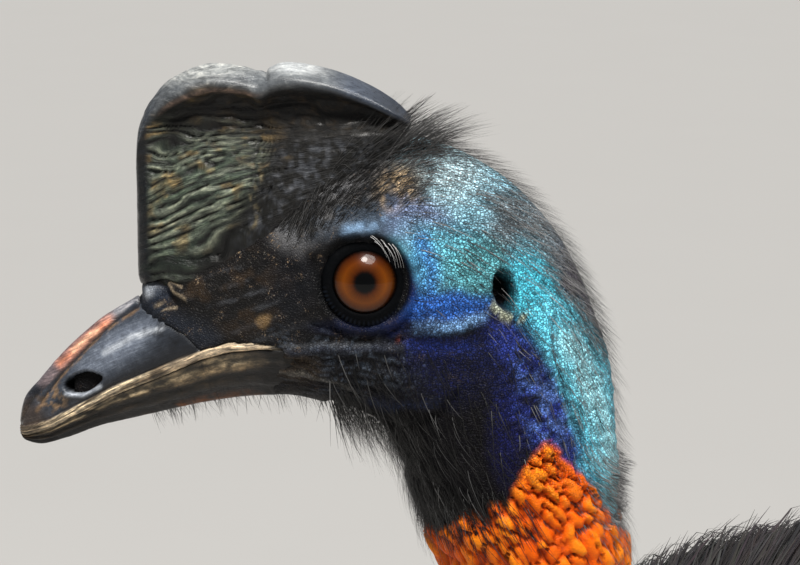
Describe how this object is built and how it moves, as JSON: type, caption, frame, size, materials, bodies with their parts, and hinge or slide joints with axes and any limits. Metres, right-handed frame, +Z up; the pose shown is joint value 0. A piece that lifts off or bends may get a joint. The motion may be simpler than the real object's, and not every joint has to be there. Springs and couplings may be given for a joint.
{
  "type": "life-size cassowary",
  "caption": "Life-size northern cassowary standing still, its head turned to its right, with casque, bare bright neck, shaggy dark plumage and clawed feet.",
  "frame": {"origin": "on the ground, under the middle of the bounding box", "axes": "+Z up, the body faces -Y, the bird's left side is +X; the head is turned to the bird's right, 20 degrees ahead of -X"},
  "size_m": [0.449, 0.867, 1.373],
  "materials": {
    "casque_horn": "worn grey-green horn",
    "bill_horn": "satin dark horn with tan edges",
    "black_skin": "bare black and blue skin with fine hairs",
    "blue_skin": "bare wrinkled turquoise skin",
    "orange_skin": "bare knobbly orange skin",
    "iris": "wet brown eye",
    "plumage": "long glossy dark bristly feathers",
    "scaly_skin": "grey-brown scutes",
    "claw_horn": "dark worn claw"
  },
  "bodies": {
    "root": {"head": "black_skin", "bill_upper": "bill_horn", "bill_lower": "bill_horn", "casque": "casque_horn", "neck_upper": "blue_skin", "neck_middle": "orange_skin", "neck_base": "plumage", "torso": "plumage", "eye_left": "iris", "eye_right": "iris", "ear_left": "blue_skin", "ear_right": "blue_skin", "wing_left": "plumage", "wing_right": "plumage", "thigh_left": "plumage", "thigh_right": "plumage", "shank_left": "scaly_skin", "shank_right": "scaly_skin", "tarsus_left": "scaly_skin", "tarsus_right": "scaly_skin", "toe_middle_left": "scaly_skin", "toe_middle_right": "scaly_skin", "toe_outer_left": "scaly_skin", "toe_outer_right": "scaly_skin", "toe_inner_left": "scaly_skin", "toe_inner_right": "scaly_skin", "claw_middle_left": "claw_horn", "claw_middle_right": "claw_horn", "claw_outer_left": "claw_horn", "claw_outer_right": "claw_horn", "claw_inner_left": "claw_horn", "claw_inner_right": "claw_horn"}
  },
  "joints": []
}
